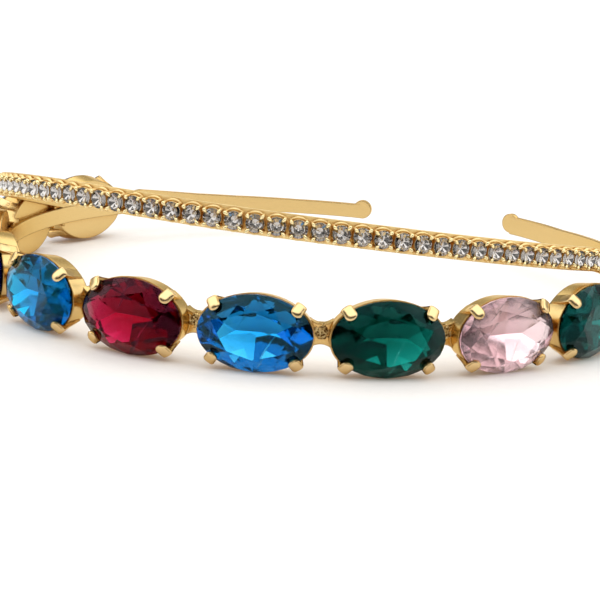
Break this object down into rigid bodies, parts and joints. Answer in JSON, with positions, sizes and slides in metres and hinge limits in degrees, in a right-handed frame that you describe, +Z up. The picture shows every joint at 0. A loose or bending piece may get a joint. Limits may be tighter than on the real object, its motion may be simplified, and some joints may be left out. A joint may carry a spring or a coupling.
{
  "type": "jewelled headband",
  "caption": "Rigid double headband of gold metal: a lower band of claw-set oval stones and a thin upper band of small clear stones, joined into plain rounded ends.",
  "frame": {"origin": "centre of the bounding box, on the floor the headband lies on", "axes": "+Z up, across the bands; +Y from the front of the head to the open end; +X along the width of the head"},
  "size_m": [0.1192, 0.1116, 0.0255],
  "materials": {
    "gold_metal": "polished pale gold plating",
    "clear_crystal": "cut, foiled back",
    "ruby_red_glass": "cut, foiled back",
    "royal_blue_glass": "cut, foiled back",
    "emerald_glass": "cut, foiled back",
    "navy_glass": "cut, foiled back",
    "capri_blue_glass": "cut, foiled back",
    "pale_pink_glass": "cut, foiled back",
    "teal_green_glass": "cut, foiled back"
  },
  "bodies": {
    "root": {"band_frame": "gold_metal", "crystal_row": "clear_crystal", "oval_stone_01": "ruby_red_glass", "oval_stone_02": "royal_blue_glass", "oval_stone_03": "emerald_glass", "oval_stone_04": "navy_glass", "oval_stone_05": "capri_blue_glass", "oval_stone_06": "ruby_red_glass", "oval_stone_07": "royal_blue_glass", "oval_stone_08": "emerald_glass", "oval_stone_09": "pale_pink_glass", "oval_stone_10": "teal_green_glass", "oval_stone_11": "capri_blue_glass"}
  },
  "joints": []
}
